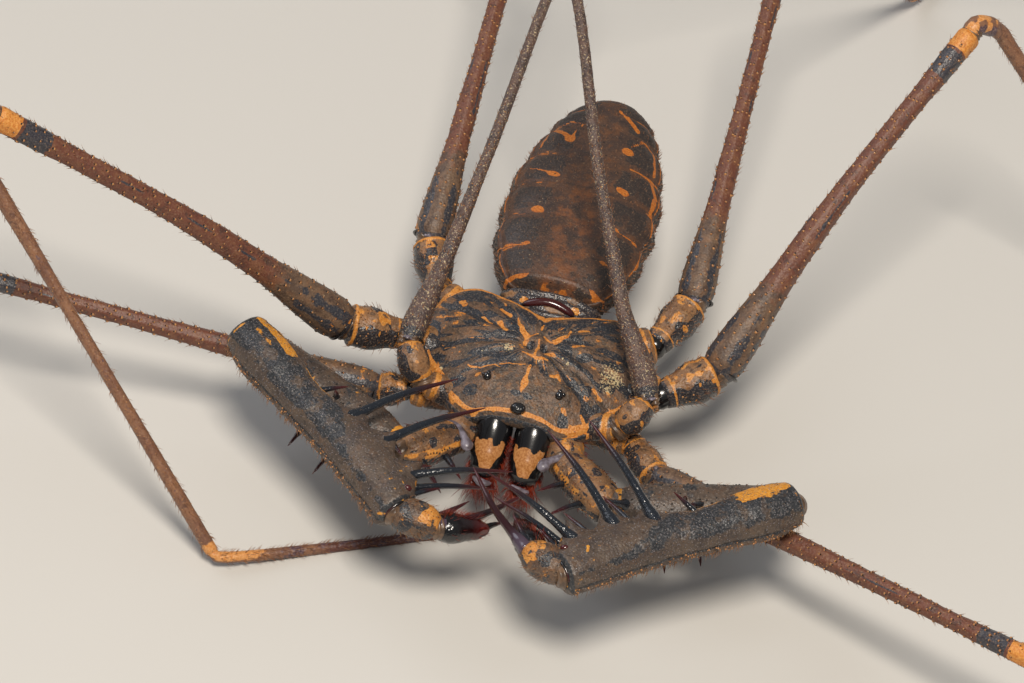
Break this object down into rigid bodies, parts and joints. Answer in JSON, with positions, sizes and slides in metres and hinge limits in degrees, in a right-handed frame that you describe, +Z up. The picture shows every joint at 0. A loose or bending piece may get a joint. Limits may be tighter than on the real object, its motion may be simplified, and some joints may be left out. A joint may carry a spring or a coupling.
{
  "type": "whip spider",
  "caption": "Life-size still model of a whip spider standing low, thorned pedipalps folded before its head, thin whip legs swept back.",
  "frame": {"origin": "bottom centre of the whole model's box, on the floor that its feet rest on", "axes": "+Z up, the head faces -Y and the abdomen points to +Y, the animal's left side is at +X"},
  "size_m": [0.2402, 0.1168, 0.0308],
  "materials": {
    "eye": "wet black glass-like domes",
    "carapace": "slate blue-black mottled with brown, an orange line along the margin",
    "abdomen": "dark brown plates with orange edges and spots",
    "underside": "brown-orange hard skin with slate patches",
    "chelicera": "glossy black with a dull orange front",
    "fang": "glossy dark red",
    "trochanter": "orange-brown with slate-black patches",
    "palp": "slate grey and brown, finely granulated, with blue-black to dark red thorns",
    "palp_tip": "glossy black and dark red",
    "femur": "maroon-brown with rows of tan-tipped tubercles",
    "tibia": "thin brown with short bristles",
    "foot": "purple-brown, hairy, orange at the base",
    "whip": "purple-brown with pale specks"
  },
  "bodies": {
    "root": {"abdomen": "abdomen", "carapace": "carapace", "chelicera_left": "chelicera", "chelicera_right": "chelicera", "eyes_lateral_left": "eye", "eyes_lateral_right": "eye", "eyes_median": "eye", "fang_left": "fang", "fang_right": "fang", "leg_2_left_femur": "femur", "leg_2_left_foot": "foot", "leg_2_left_tibia": "tibia", "leg_2_left_trochanter": "trochanter", "leg_2_right_femur": "femur", "leg_2_right_foot": "foot", "leg_2_right_tibia": "tibia", "leg_2_right_trochanter": "trochanter", "leg_3_left_femur": "femur", "leg_3_left_foot": "foot", "leg_3_left_tibia": "tibia", "leg_3_left_trochanter": "trochanter", "leg_3_right_femur": "femur", "leg_3_right_foot": "foot", "leg_3_right_tibia": "tibia", "leg_3_right_trochanter": "trochanter", "leg_4_left_femur": "femur", "leg_4_left_foot": "foot", "leg_4_left_tibia": "tibia", "leg_4_left_trochanter": "trochanter", "leg_4_right_femur": "femur", "leg_4_right_foot": "foot", "leg_4_right_tibia": "tibia", "leg_4_right_trochanter": "trochanter", "pedicel": "underside", "pedipalp_left_coxa": "underside", "pedipalp_left_femur": "palp", "pedipalp_left_patella": "palp", "pedipalp_left_tarsus": "palp_tip", "pedipalp_left_tibia": "trochanter", "pedipalp_left_trochanter": "trochanter", "pedipalp_right_coxa": "underside", "pedipalp_right_femur": "palp", "pedipalp_right_patella": "palp", "pedipalp_right_tarsus": "palp_tip", "pedipalp_right_tibia": "trochanter", "pedipalp_right_trochanter": "trochanter", "sternum_and_coxae": "underside", "whip_left_femur": "whip", "whip_left_tarsus_a": "whip", "whip_left_tarsus_b": "whip", "whip_left_tibia_a": "whip", "whip_left_tibia_b": "whip", "whip_left_trochanter": "trochanter", "whip_right_femur": "whip", "whip_right_tarsus_a": "whip", "whip_right_tarsus_b": "whip", "whip_right_tibia_a": "whip", "whip_right_tibia_b": "whip", "whip_right_trochanter": "trochanter"}
  },
  "joints": []
}
